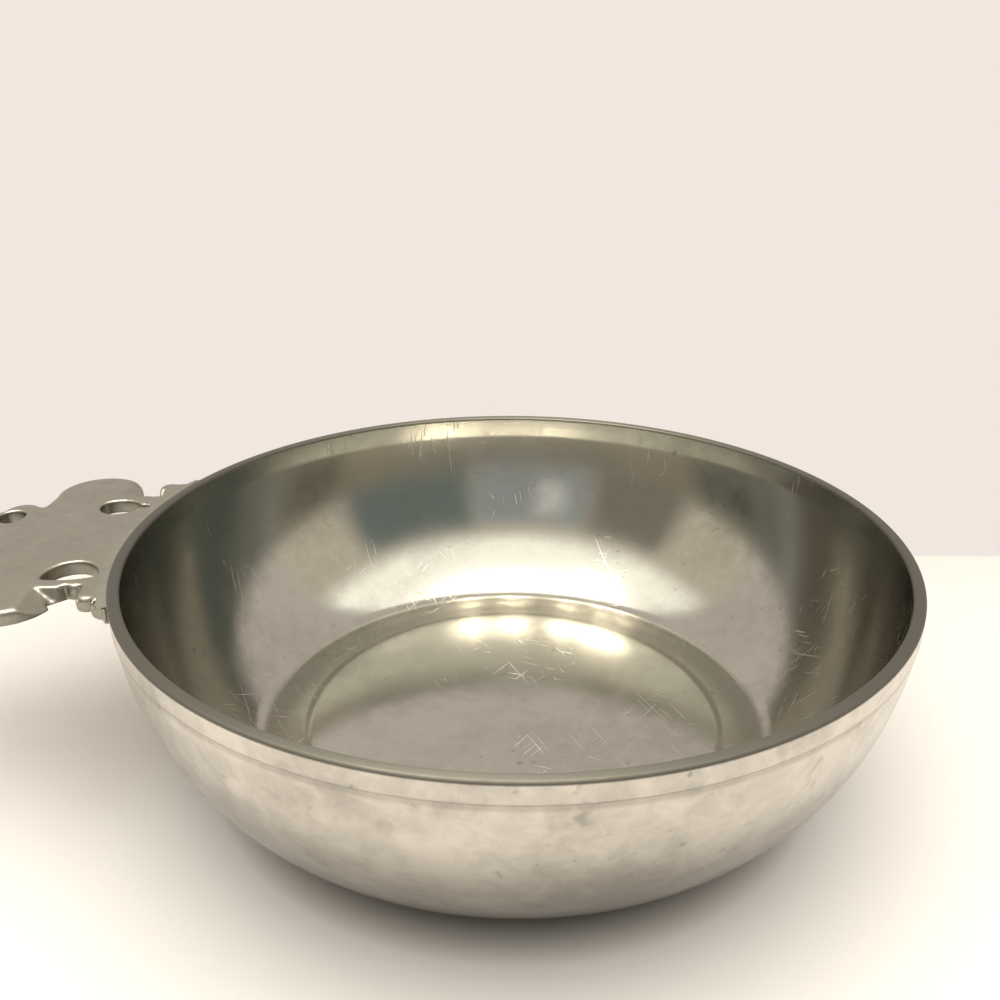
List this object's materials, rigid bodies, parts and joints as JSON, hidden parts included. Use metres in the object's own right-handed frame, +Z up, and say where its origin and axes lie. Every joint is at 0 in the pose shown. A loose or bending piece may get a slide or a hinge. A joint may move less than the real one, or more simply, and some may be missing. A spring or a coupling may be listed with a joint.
{
  "type": "porringer",
  "caption": "Shallow round metal bowl with a narrow flat lip, a flat raised floor and one flat pierced, scrolled handle at the rim with a hanging hole.",
  "frame": {"origin": "on the bowl's axis, in the plane of the ring that it stands on", "axes": "+Z up along the bowl's axis, the handle points along -X"},
  "size_m": [0.1931, 0.1334, 0.0413],
  "materials": {
    "bowl": "turned and polished pewter, worn satin, fine concentric lines",
    "handle": "cast pewter, filed and worn smooth",
    "solder": "dull pewter solder"
  },
  "bodies": {
    "root": {"bowl": "bowl", "handle": "handle", "handle_solder": "solder"}
  },
  "joints": []
}
